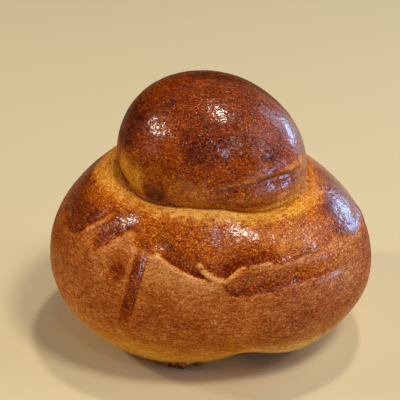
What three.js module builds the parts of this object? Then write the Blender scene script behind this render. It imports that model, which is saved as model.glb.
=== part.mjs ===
// A brioche bun with a topknot: a squat round body, drawn in under its belly to a flat foot, and a smaller
// round head sunk into its top, leaning a little to the front and to the left. It is one piece of dough.
// Millimetres, +Z up, the origin in the middle of the foot. Bearings go round the bun in degrees, 0 at the
// front (-Y) and 90 at the right (+X).
import * as THREE from 'three';
import { mergeVertices } from 'three/addons/utils/BufferGeometryUtils.js';

// Driving dimensions. A ring that isn't quite round is a mean size and waves round the bun, each wave
// [rise, waves in one turn, bearing of a crest].
const BELLY_RADIUS = { mean: 50, waves: [[1.9, 2, 84], [0.8, 3, 51], [0.5, 4, -36]] };
const BELLY_HEIGHT = { mean: 26.3, waves: [[0.8, 1, 41], [0.6, 2, 26]] };
const FOOT_RADIUS = { mean: 28.3, waves: [[0.8, 2, -72], [2.8, 3, -45]] };
const NECK_RADIUS = { mean: 29.5, waves: [[1.1, 2, 45], [0.8, 3, -42]] };
const NECK_HEIGHT = { mean: 56.7, waves: [[2.2, 1, -126], [0.7, 3, 0], [0.6, 5, -12]] };
const HEAD_RADIUS = { mean: 30.2, waves: [[1.4, 2, 26], [0.5, 3, 33]] };
const HEAD_WIDEST = { mean: 60.7, waves: [[0.5, 1, -89], [0.4, 2, 23]] };
const CROWN_HEIGHT = 86.3;

// Where the middle of the belly stands off the origin, the neck off the belly and the crown off the neck
const BELLY_SHIFT = [0.4, -0.75];
const NECK_SHIFT = [0.5, -3];
const CROWN_SHIFT = [-3.7, -0.1];

// How full the rounds below and above the belly are: 1 is a quarter of an ellipse, less is fuller
const UNDERSIDE_POWER = 1.03;
const SHOULDER_POWER = 0.88;

// The crease round the neck: how deep it is cut, how wide, and the share of the cut that goes in and down
const CREASE_DEPTH = { mean: 0.7, waves: [[0.65, 1, -125]] };
const CREASE_WIDTH = 1.6;
const CREASE_IN = 0.6;
const CREASE_DOWN = 0.8;

// The head stands on a foot no wider than this share of its widest ring
const HEAD_FOOT_SHARE = 0.985;

// Folds of the skin. The line runs over the crust through [bearing, height] points. Across it lie swells and
// hollows, each [middle above the line, half width, rise].
const FOLDS = [
  {
    name: 'torn lip',
    line: [[-24.5, 48.6], [-21.5, 46], [-16.5, 44.1], [-12, 42.7], [-7, 41.3], [-2, 40.1]],
    across: [[2, 2.2, -0.8], [-1.9, 2.3, 0.8]],
  },
  {
    name: 'tip of the lip',
    line: [[-6.8, 44.4], [-4.6, 42.8], [-1.4, 41.1], [1.5, 40.1], [3.8, 39.8]],
    across: [[0.2, 1.9, 0.6]],
  },
  {
    name: 'upper ridge',
    line: [[3.8, 39.8], [6, 40.5], [10, 42.8], [15, 44.1], [23, 44.1], [32, 44.2], [41, 44.2], [54, 44.2]],
    across: [[2.6, 2.6, -0.5], [-1.6, 1.8, 0.6]],
  },
  {
    name: 'groove below the ridge',
    line: [[6.5, 35.8], [14, 35.3], [23, 35.9], [27.5, 36.8], [31.5, 37.3], [37, 37.3], [45, 37.1], [54, 37]],
    across: [[2.4, 2.2, -0.9], [-2.4, 2.6, 0.7]],
  },
  {
    name: 'run of egg wash',
    line: [[-30.2, 50], [-29.6, 44], [-29.5, 40.4], [-30, 36.3], [-30.2, 32], [-31.2, 27.5], [-33.2, 17]],
    across: [[0, 1.8, -0.9], [3, 1.5, 0.25], [-3, 1.5, 0.15]],
  },
  {
    name: 'fold of the head',
    line: [[0, 63.2], [4, 64], [10, 64.7], [20, 65.5], [30, 65.8], [42, 65.6], [55, 64.6], [68, 63]],
    across: [[1, 1.6, 0.35], [-2.4, 2.3, -0.75]],
  },
  {
    name: 'left flap',
    line: [[-84, 43.8], [-76, 43], [-71.5, 41.8], [-66, 41.6], [-62.5, 43.6], [-57.5, 48], [-53.4, 51.6]],
    across: [[1.6, 1.8, -0.25], [-1.4, 1.8, 0.15]],
  },
  {
    name: 'second flap',
    line: [[-51.6, 43], [-50, 41.9], [-48.4, 42.6], [-46, 45], [-43, 47.6], [-38, 49.7], [-33, 46.4]],
    across: [[1.4, 1.8, -0.2], [-2, 2.2, 0.4]],
  },
  {
    name: 'right flap',
    line: [[58, 44], [65, 43], [72, 41.8], [84, 41.6], [98, 43]],
    across: [[1.4, 1.8, -0.15], [-2, 2.6, 0.5]],
  },
  {
    name: 'back fold',
    line: [[112, 45], [130, 42.6], [150, 41.8], [172, 43.6]],
    across: [[2, 2.2, -0.8], [-1.8, 2.2, 0.7]],
  },
  {
    name: 'back left fold',
    line: [[-156, 38.8], [-138, 40.2], [-122, 43], [-112, 44.4]],
    across: [[2, 2.2, -0.8], [-1.8, 2.2, 0.7]],
  },
];
const FOLD_STEPS = 24;
const FOLD_FADE = 0.17;

// Round dents pressed into the crust, each at a [bearing, height]; one of less than no depth is a swell
const DENTS = [
  { name: 'round blob', at: [-37, 38.9], radius: 2.2, depth: 0.5 },
  { name: 'pock in the head', at: [35.5, 71], radius: 1.6, depth: 0.5 },
  { name: 'pocket under the fold of the head', at: [38, 63.2], radius: 4.2, depth: 0.9 },
  { name: 'hollow in the front of the head', at: [-5, 73], radius: 5, depth: 0.35 },
  { name: 'swell above the second flap', at: [-38, 53.6], radius: 4.5, depth: -0.5 },
];

// The uneven foot at the front: burnt egg that ran down and baked on, a notch beside it and a lobe after
// that. Each is a swell, or with less than no rise a notch, round a bearing and a height.
const FOOT_SWELLS = [
  { name: 'burnt egg', bearing: -17, spread: 10, height: 0, tall: 2, rise: 2 },
  { name: 'notch', bearing: 16, spread: 11, height: 6, tall: 5.5, rise: -1.5 },
  { name: 'lobe', bearing: 40, spread: 11, height: 9, tall: 6, rise: 0.8 },
];

// Rings of the mesh in each stretch from the middle of the foot to the crown, and columns round the bun,
// which stand closer at the front, where the folds are
const FOOT_RINGS = 3;
const UNDERSIDE_RINGS = 10;
const SHOULDER_RINGS = 27;
const HEAD_WALL_RINGS = 4;
const HEAD_TOP_RINGS = 10;
const RINGS = FOOT_RINGS + UNDERSIDE_RINGS + SHOULDER_RINGS + HEAD_WALL_RINGS + HEAD_TOP_RINGS;
const COLUMNS = 112;
const FRONT_CROWDING = 0.45;

const CRUST_COLOUR = 0xa35a1e;
const CRUST_ROUGHNESS = 0.45;

const { degToRad, radToDeg, clamp, lerp, smoothstep } = THREE.MathUtils;

// A ring's size at a bearing: its mean plus its waves
function ringSize(ring, bearing) {
  let size = ring.mean;
  for (const [rise, order, crest] of ring.waves) {
    size += rise * Math.cos(order * degToRad(bearing - crest));
  }
  return size;
}

// The sizes of the profile that a cut down through the bun would show at one bearing. A round starts at its
// widest ring: at an angle from there its radius is that ring's times cos(angle) to its power, and its height
// is off that ring's by its rise times sin(angle).
function profileAt(bearing) {
  const belly = ringSize(BELLY_RADIUS, bearing);
  const bellyHeight = ringSize(BELLY_HEIGHT, bearing);
  const foot = ringSize(FOOT_RADIUS, bearing);
  const neck = ringSize(NECK_RADIUS, bearing);
  const neckHeight = ringSize(NECK_HEIGHT, bearing);
  const head = ringSize(HEAD_RADIUS, bearing);
  const headFoot = Math.min(neck, HEAD_FOOT_SHARE * head);
  const headWidest = ringSize(HEAD_WIDEST, bearing);
  const footAngle = Math.acos((foot / belly) ** (1 / UNDERSIDE_POWER));
  const neckAngle = Math.acos((neck / belly) ** (1 / SHOULDER_POWER));
  const wallAngle = Math.acos(headFoot / head);
  return {
    belly, bellyHeight, foot, neckHeight, head, headFoot, headWidest, footAngle, neckAngle, wallAngle,
    undersideRise: bellyHeight / Math.sin(footAngle),
    shoulderRise: (neckHeight - bellyHeight) / Math.sin(neckAngle),
    wallRise: (headWidest - neckHeight) / Math.sin(wallAngle),
    headRise: CROWN_HEIGHT - headWidest,
    crease: ringSize(CREASE_DEPTH, bearing),
  };
}

// A point at a bearing, a radius and a height. The middle of its ring slides from the belly's to the neck's
// up the shoulder, and on to the crown's over the head.
function ringPoint(bearing, radius, height, towardNeck, towardCrown) {
  const turn = degToRad(bearing);
  return new THREE.Vector3(
    BELLY_SHIFT[0] + NECK_SHIFT[0] * towardNeck + CROWN_SHIFT[0] * towardCrown + radius * Math.sin(turn),
    BELLY_SHIFT[1] + NECK_SHIFT[1] * towardNeck + CROWN_SHIFT[1] * towardCrown - radius * Math.cos(turn),
    height,
  );
}

// Points on the four rounds of the smooth bun, at an angle from the round's widest ring
function undersidePoint(bearing, cut, angle) {
  const radius = cut.belly * Math.cos(angle) ** UNDERSIDE_POWER;
  return ringPoint(bearing, radius, cut.bellyHeight - cut.undersideRise * Math.sin(angle), 0, 0);
}

function shoulderPoint(bearing, cut, angle) {
  const radius = cut.belly * Math.cos(angle) ** SHOULDER_POWER;
  const slide = (Math.sin(angle) / Math.sin(cut.neckAngle)) ** 2;
  return ringPoint(bearing, radius, cut.bellyHeight + cut.shoulderRise * Math.sin(angle), slide, 0);
}

function headWallPoint(bearing, cut, angle) {
  const height = cut.headWidest - cut.wallRise * Math.sin(angle);
  return ringPoint(bearing, cut.head * Math.cos(angle), height, 1, 0);
}

function headTopPoint(bearing, cut, angle) {
  const height = cut.headWidest + cut.headRise * Math.sin(angle);
  return ringPoint(bearing, cut.head * Math.max(Math.cos(angle), 0), height, 1, Math.sin(angle) ** 2);
}

// The crease round the neck draws the crust in and down, most at the neck itself
function pinched(point, bearing, cut) {
  const neck = ringPoint(bearing, cut.headFoot, cut.neckHeight, 1, 0);
  const depth = cut.crease * Math.exp(-((point.distanceTo(neck) / CREASE_WIDTH) ** 2));
  const turn = degToRad(bearing);
  point.x -= CREASE_IN * depth * Math.sin(turn);
  point.y += CREASE_IN * depth * Math.cos(turn);
  point.z -= CREASE_DOWN * depth;
  return point;
}

// The point of the bun, with its neck but no folds, on one ring of the mesh, counted from the foot's middle
function meshPoint(bearing, ring) {
  const cut = profileAt(bearing);
  if (ring <= FOOT_RINGS) {
    return ringPoint(bearing, cut.foot * ring / FOOT_RINGS, 0, 0, 0);
  }
  let step = ring - FOOT_RINGS;
  if (step <= UNDERSIDE_RINGS) {
    return undersidePoint(bearing, cut, cut.footAngle * (1 - step / UNDERSIDE_RINGS));
  }
  step -= UNDERSIDE_RINGS;
  if (step <= SHOULDER_RINGS) {
    return pinched(shoulderPoint(bearing, cut, cut.neckAngle * step / SHOULDER_RINGS), bearing, cut);
  }
  step -= SHOULDER_RINGS;
  if (step <= HEAD_WALL_RINGS) {
    return pinched(headWallPoint(bearing, cut, cut.wallAngle * (1 - step / HEAD_WALL_RINGS)), bearing, cut);
  }
  step -= HEAD_WALL_RINGS;
  return headTopPoint(bearing, cut, Math.PI / 2 * step / HEAD_TOP_RINGS);
}

// The point of the smooth bun at a bearing and a height
function crustPoint(bearing, height) {
  const cut = profileAt(bearing);
  if (height < cut.bellyHeight) {
    return undersidePoint(bearing, cut, Math.asin((cut.bellyHeight - height) / cut.undersideRise));
  }
  if (height < cut.neckHeight) {
    return shoulderPoint(bearing, cut, Math.asin((height - cut.bellyHeight) / cut.shoulderRise));
  }
  if (height < cut.headWidest) {
    return headWallPoint(bearing, cut, Math.asin((cut.headWidest - height) / cut.wallRise));
  }
  return headTopPoint(bearing, cut, Math.asin((height - cut.headWidest) / cut.headRise));
}

// A fold's line laid on the crust: a smooth curve through its points, cut into short straight pieces
function foldPieces(fold) {
  const places = fold.line.map(([bearing, height]) => new THREE.Vector2(bearing, height));
  const marks = new THREE.SplineCurve(places).getPoints(FOLD_STEPS);
  const pieces = [];
  for (let i = 0; i < FOLD_STEPS; i += 1) {
    const [from, to] = [marks[i], marks[i + 1]];
    pieces.push({ from, to, line: new THREE.Line3(crustPoint(from.x, from.y), crustPoint(to.x, to.y)) });
  }
  return pieces;
}

// Whether a point lies above a fold's line, seen from the side, with the line's ends drawn on level
function isAbove(pieces, bearing, height) {
  const reached = clamp(bearing, pieces[0].from.x, pieces.at(-1).to.x);
  const piece = pieces.find(({ to }) => to.x >= reached) ?? pieces.at(-1);
  const share = clamp((reached - piece.from.x) / (piece.to.x - piece.from.x), 0, 1);
  return height >= lerp(piece.from.y, piece.to.y, share);
}

// How far a fold raises the crust at a point: the sum of its swells and hollows, fading out at both ends
function foldRise(fold, pieces, bearing, point) {
  const nearest = new THREE.Vector3();
  let distance = Infinity;
  let along = 0;
  pieces.forEach((piece, index) => {
    piece.line.closestPointToPoint(point, true, nearest);
    const reach = nearest.distanceTo(point);
    if (reach < distance) {
      distance = reach;
      along = (index + piece.line.closestPointToPointParameter(point, true)) / FOLD_STEPS;
    }
  });
  const offset = isAbove(pieces, bearing, point.z) ? distance : -distance;
  const fade = smoothstep(along, 0, FOLD_FADE) * smoothstep(1 - along, 0, FOLD_FADE);
  let rise = 0;
  for (const [middle, halfWidth, height] of fold.across) {
    rise += height * Math.exp(-(((offset - middle) / halfWidth) ** 2));
  }
  return rise * fade;
}

// How far a round dent lowers the crust at a point
function dentRise(dent, centre, point) {
  return -dent.depth * Math.exp(-((centre.distanceTo(point) / dent.radius) ** 2));
}

// How far a swell of the foot raises the crust at a bearing and a height
function footRise(swell, bearing, height) {
  const round = (bearing - swell.bearing) / swell.spread;
  const up = (height - swell.height) / swell.tall;
  return swell.rise * Math.exp(-(round ** 2) - up ** 2);
}

// The bun: the rings of a sphere are carried onto its profile, then the folds and dents are pressed into it
function bunGeometry() {
  const sphere = new THREE.SphereGeometry(1, COLUMNS, RINGS);
  sphere.deleteAttribute('normal');
  sphere.deleteAttribute('uv');
  const geometry = mergeVertices(sphere);
  const place = geometry.attributes.position;
  const bearings = [];
  const rings = [];
  const point = new THREE.Vector3();
  for (let i = 0; i < place.count; i += 1) {
    point.fromBufferAttribute(place, i);
    const turn = Math.atan2(point.x, point.z);
    bearings.push(radToDeg(turn - FRONT_CROWDING * Math.sin(turn)));
    rings.push(Math.round(RINGS * (1 - Math.acos(clamp(point.y, -1, 1)) / Math.PI)));
    place.setXYZ(i, ...meshPoint(bearings[i], rings[i]));
  }
  geometry.computeVertexNormals();

  const outward = new THREE.Vector3();
  const foldLines = FOLDS.map(foldPieces);
  const dentCentres = DENTS.map((dent) => crustPoint(...dent.at));
  for (let i = 0; i < place.count; i += 1) {
    if (rings[i] > FOOT_RINGS) {
      point.fromBufferAttribute(place, i);
      outward.fromBufferAttribute(geometry.attributes.normal, i);
      let rise = 0;
      FOOT_SWELLS.forEach((swell) => { rise += footRise(swell, bearings[i], point.z); });
      FOLDS.forEach((fold, k) => { rise += foldRise(fold, foldLines[k], bearings[i], point); });
      DENTS.forEach((dent, k) => { rise += dentRise(dent, dentCentres[k], point); });
      point.addScaledVector(outward, rise);
      place.setXYZ(i, point.x, point.y, Math.max(point.z, 0));
    }
  }
  geometry.computeVertexNormals();
  return geometry;
}

const crust = new THREE.MeshStandardMaterial({
  color: CRUST_COLOUR,
  roughness: CRUST_ROUGHNESS,
  metalness: 0,
});
const bun = new THREE.Mesh(bunGeometry(), crust);
bun.name = 'brioche_bun';

const part = new THREE.Group();
part.add(bun);

export default part;
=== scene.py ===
"""A brioche bun with a topknot: its baked crust as one closed surface, on a pale floor in soft light.

Shapes are worked out in millimetres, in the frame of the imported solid, and go into the mesh in metres.
Bearings go round the bun in degrees, 0 at the front (-Y) and 90 at the right (+X).
"""
import math

import bpy
import numpy as np
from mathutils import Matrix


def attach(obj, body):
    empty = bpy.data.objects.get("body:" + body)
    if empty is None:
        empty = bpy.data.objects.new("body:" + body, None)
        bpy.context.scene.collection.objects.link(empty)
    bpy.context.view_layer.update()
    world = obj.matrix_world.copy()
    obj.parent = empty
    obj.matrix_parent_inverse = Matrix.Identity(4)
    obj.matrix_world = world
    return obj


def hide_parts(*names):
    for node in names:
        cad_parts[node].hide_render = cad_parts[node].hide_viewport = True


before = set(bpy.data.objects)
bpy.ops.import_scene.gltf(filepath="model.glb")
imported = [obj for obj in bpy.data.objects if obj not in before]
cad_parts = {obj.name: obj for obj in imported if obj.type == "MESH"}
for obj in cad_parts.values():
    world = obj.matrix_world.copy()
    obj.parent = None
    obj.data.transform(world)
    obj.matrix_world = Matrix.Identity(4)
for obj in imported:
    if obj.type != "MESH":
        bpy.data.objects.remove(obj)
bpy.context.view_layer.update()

MM = 0.001

# A length or a share below this counts as nothing
TINY = 1e-6

# Rings that aren't quite round: a mean size, then waves, each a rise, a number of waves in one turn and the
# bearing of a crest
BELLY_RADIUS = (50, (1.9, 2, 84), (0.8, 3, 51), (0.5, 4, -36))
BELLY_HEIGHT = (26.3, (0.8, 1, 41), (0.6, 2, 26))
FOOT_RADIUS = (28.3, (0.8, 2, -72), (2.8, 3, -45))
NECK_RADIUS = (29.5, (1.1, 2, 45), (0.8, 3, -42))
NECK_HEIGHT = (56.7, (2.2, 1, -126), (0.7, 3, 0), (0.6, 5, -12))
HEAD_RADIUS = (30.2, (1.4, 2, 26), (0.5, 3, 33))
HEAD_WIDEST = (60.7, (0.5, 1, -89), (0.4, 2, 23))
CREASE_DEPTH = (0.7, (0.65, 1, -125))
CROWN_HEIGHT = 86.3

# The seam of the neck is lifted at the front: by how much, at which bearing and over what spread
NECK_LIFT = 0.6
NECK_LIFT_BEARING = 10
NECK_LIFT_SPREAD = 20

# Where the middle of the belly stands off the origin, the neck off the belly and the crown off the neck
BELLY_SHIFT = np.array((0.4, -0.75))
NECK_SHIFT = np.array((0.5, -3.0))
CROWN_SHIFT = np.array((-3.7, -0.1))

# How full the rounds below and above the belly are: 1 is a quarter of an ellipse, less is fuller
UNDERSIDE_POWER = 1.03
SHOULDER_POWER = 0.88

# The most that the head's foot measures, as a share of its widest ring
HEAD_FOOT_SHARE = 0.985

# The crease of the neck: its width, and how far a depth of 1 draws the crust in and down
CREASE_WIDTH = 1.6
CREASE_IN = 0.6
CREASE_DOWN = 0.8

# Rings of the mesh in each stretch from the middle of the foot to the crown, and columns round the bun,
# which crowd together at the front
FOOT_RINGS = 8
UNDERSIDE_RINGS = 44
SHOULDER_RINGS = 102
HEAD_WALL_RINGS = 24
HEAD_TOP_RINGS = 58
COLUMNS = 416
FRONT_CROWDING = 0.38
NECK_RING = FOOT_RINGS + UNDERSIDE_RINGS + SHOULDER_RINGS


# The smooth bun

def ring_size(ring, bearing):
    """A ring's size at each bearing: its mean plus rise x cos(order x (bearing - crest)) for every wave."""
    mean, *waves = ring
    size = np.full_like(bearing, float(mean))
    for rise, order, crest in waves:
        size += rise * np.cos(order * np.radians(bearing - crest))
    return size


def neck_seam(bearing):
    """Height of the seam of the neck: its ring, plus lift x exp(-((bearing - middle) / spread)^2)."""
    lift = NECK_LIFT * np.exp(-(((bearing - NECK_LIFT_BEARING) / NECK_LIFT_SPREAD) ** 2))
    return ring_size(NECK_HEIGHT, bearing) + lift


class Cut:
    """The sizes of the profile that a cut down through the bun would show at each bearing."""

    def __init__(self, bearing):
        self.bearing = bearing
        self.belly = ring_size(BELLY_RADIUS, bearing)
        self.belly_height = ring_size(BELLY_HEIGHT, bearing)
        self.foot = ring_size(FOOT_RADIUS, bearing)
        self.neck = ring_size(NECK_RADIUS, bearing)
        self.neck_height = neck_seam(bearing)
        self.head = ring_size(HEAD_RADIUS, bearing)
        self.head_foot = np.minimum(self.neck, HEAD_FOOT_SHARE * self.head)
        self.head_widest = ring_size(HEAD_WIDEST, bearing)
        self.foot_angle = np.arccos((self.foot / self.belly) ** (1 / UNDERSIDE_POWER))
        self.neck_angle = np.arccos((self.neck / self.belly) ** (1 / SHOULDER_POWER))
        self.wall_angle = np.arccos(self.head_foot / self.head)
        self.underside_rise = self.belly_height / np.sin(self.foot_angle)
        self.shoulder_rise = (self.neck_height - self.belly_height) / np.sin(self.neck_angle)
        self.wall_rise = (self.head_widest - self.neck_height) / np.sin(self.wall_angle)
        self.head_rise = CROWN_HEIGHT - self.head_widest
        self.crease = ring_size(CREASE_DEPTH, bearing)

    def point(self, radius, height, toward_neck=0.0, toward_crown=0.0):
        """Points at a radius and a height. A ring's middle slides to the neck's, then on to the crown's."""
        turn = np.radians(self.bearing)
        ways = (np.sin(turn), -np.cos(turn))
        x, y = (
            belly + neck * toward_neck + crown * toward_crown + radius * way
            for belly, neck, crown, way in zip(BELLY_SHIFT, NECK_SHIFT, CROWN_SHIFT, ways)
        )
        return np.stack(np.broadcast_arrays(x, y, height), axis=-1)

    def underside(self, angle):
        """Radius belly x cos(angle)^power, height belly height - rise x sin(angle)."""
        radius = self.belly * np.cos(angle) ** UNDERSIDE_POWER
        return self.point(radius, self.belly_height - self.underside_rise * np.sin(angle))

    def shoulder(self, angle):
        """Radius belly x cos(angle)^power, height belly height + rise x sin(angle). The ring's middle slides
        to the neck's."""
        radius = self.belly * np.cos(angle) ** SHOULDER_POWER
        slide = (np.sin(angle) / np.sin(self.neck_angle)) ** 2
        return self.point(radius, self.belly_height + self.shoulder_rise * np.sin(angle), slide)

    def head_wall(self, angle):
        """A quarter ellipse from the head's widest ring down and in to the neck."""
        return self.point(self.head * np.cos(angle), self.head_widest - self.wall_rise * np.sin(angle), 1.0)

    def head_top(self, angle):
        """A quarter ellipse from the head's widest ring up to the crown, middle sliding to the crown."""
        radius = self.head * np.maximum(np.cos(angle), 0)
        return self.point(radius, self.head_widest + self.head_rise * np.sin(angle), 1.0, np.sin(angle) ** 2)

    def pinch(self, points):
        """The crease draws points in and down by depth x exp(-(distance from the neck / width)^2)."""
        away = np.linalg.norm(points - self.point(self.head_foot, self.neck_height, 1.0), axis=-1)
        depth = self.crease * np.exp(-((away / CREASE_WIDTH) ** 2))
        turn = np.radians(self.bearing)
        inward = (CREASE_IN * np.sin(turn), -CREASE_IN * np.cos(turn))
        draw = np.stack(np.broadcast_arrays(*inward, np.array(CREASE_DOWN)), axis=-1)
        return points - depth[..., None] * draw


def crust_points(bearing, height):
    """The smooth crust's points at bearings and heights, each on the round that reaches that height."""
    cut = Cut(bearing)

    def angle(rise):
        return np.arcsin(np.clip(rise, 0, 1))

    low = cut.underside(angle((cut.belly_height - height) / cut.underside_rise))
    mid = cut.shoulder(angle((height - cut.belly_height) / cut.shoulder_rise))
    wall = cut.head_wall(angle((cut.head_widest - height) / cut.wall_rise))
    top = cut.head_top(angle((height - cut.head_widest) / cut.head_rise))
    on_body = np.where((height < cut.belly_height)[..., None], low, mid)
    on_head = np.where((height < cut.head_widest)[..., None], wall, top)
    return np.where((height < cut.neck_height)[..., None], on_body, on_head)


def smooth_bun():
    """Bearings and points on a grid, rings by columns, from the middle of the foot up to the crown."""
    turn = np.linspace(-np.pi, np.pi, COLUMNS, endpoint=False)
    bearing = np.degrees(turn - FRONT_CROWDING * np.sin(turn))[None, :]
    cut = Cut(bearing)

    def shares(rings):
        return np.arange(1, rings + 1)[:, None] / rings

    foot_shares = np.arange(FOOT_RINGS + 1)[:, None] / FOOT_RINGS
    foot = cut.point(cut.foot * foot_shares, np.zeros_like(foot_shares))
    underside = cut.underside(cut.foot_angle * (1 - shares(UNDERSIDE_RINGS)))
    shoulder = cut.pinch(cut.shoulder(cut.neck_angle * shares(SHOULDER_RINGS)))
    wall = cut.pinch(cut.head_wall(cut.wall_angle * (1 - shares(HEAD_WALL_RINGS))))
    top = cut.head_top(np.pi / 2 * shares(HEAD_TOP_RINGS))
    points = np.concatenate((foot, underside, shoulder, wall, top))
    return np.broadcast_to(bearing, points.shape[:2]), points


def grid_normals(points):
    """Outward unit normals of the grid: the cross product of the steps round the bun and up it."""
    around = np.roll(points, -1, axis=1) - np.roll(points, 1, axis=1)
    up = np.gradient(points, axis=0)
    normal = np.cross(around, up)
    length = np.linalg.norm(normal, axis=-1, keepdims=True)
    return np.where(length > TINY, normal / np.maximum(length, TINY), (0, 0, 1))


# Relief of the crust

# The waves in a ripple: their sizes, as shares of its own, and the scale that keeps their sum within about 1
RIPPLE_SIZES = (0.7, 1.4)
RIPPLE_SCALE = 0.7


def fade(value, start, end):
    """0 before start, 1 after end, and a smooth S between them."""
    share = np.clip((value - start) / (end - start), 0, 1)
    return share * share * (3 - 2 * share)


def span(value, climb, drop):
    """1 between two stretches: a smooth S up over the first and down over the second."""
    return fade(value, *climb) * (1 - fade(value, *drop))


def hill(across, spread, up, reach):
    """exp(-(across / spread)^2 - (up / reach)^2)."""
    return np.exp(-((across / spread) ** 2) - (up / reach) ** 2)


def level(marks, places):
    """Values at places, straight between (place, value) marks."""
    place, value = np.array(marks, float).T
    return np.interp(places, place, value)


def ripple(points, size, seed, waves=32):
    """Smooth unevenness of about -1 to 1: the sum of plane waves in random directions, whose crests and
    hollows are about that size across."""
    draw = np.random.default_rng(seed)
    heading = draw.normal(size=(waves, 3))
    heading /= np.linalg.norm(heading, axis=1, keepdims=True)
    pace = np.pi / (size * draw.uniform(*RIPPLE_SIZES, waves))
    phase = draw.uniform(0, 2 * np.pi, waves)
    total = np.sin(points @ (heading * pace[:, None]).T + phase).sum(axis=-1)
    return total * RIPPLE_SCALE / math.sqrt(waves)


def ripples(points, parts):
    """The sum of ripples, each a rise, a size across and a seed."""
    return sum(rise * ripple(points, size, seed) for rise, size, seed in parts)


def smooth_line(marks, steps=40):
    """A smooth curve through (bearing, height) marks: cubic pieces, whose slope at a mark is half the step
    from the mark before it to the mark after it."""
    marks = np.array(marks, float)
    ends = np.concatenate((2 * marks[:1] - marks[1:2], marks, 2 * marks[-1:] - marks[-2:-1]))
    place = np.linspace(0, len(marks) - 1, steps + 1)
    first = np.minimum(place.astype(int), len(marks) - 2)
    t = (place - first)[:, None]
    a, b, c, d = (ends[first + k] for k in range(4))
    return b + 0.5 * t * (c - a + t * (2 * a - 5 * b + 4 * c - d + t * (3 * (b - c) + d - a)))


def line_offsets(marks, points, normals):
    """Signed distance of points from a line on the crust, above it when it runs left to right, and the share
    of its length at the nearest place. Every point is set against every short piece of the line."""
    bearing, height = smooth_line(marks).T
    line = crust_points(bearing, height)
    start, step = line[:-1], np.diff(line, axis=0)
    away = points[:, None, :] - start
    share = np.clip((away * step).sum(-1) / (step * step).sum(-1), 0, 1)
    gap = away - share[..., None] * step
    distance = np.linalg.norm(gap, axis=-1)
    nearest = distance.argmin(axis=1)
    rows = np.arange(len(points))
    upward = np.cross(normals, step[nearest])
    side = np.where((upward * gap[rows, nearest]).sum(-1) >= 0, 1, -1)
    return side * distance[rows, nearest], (nearest + share[rows, nearest]) / len(step)


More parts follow.
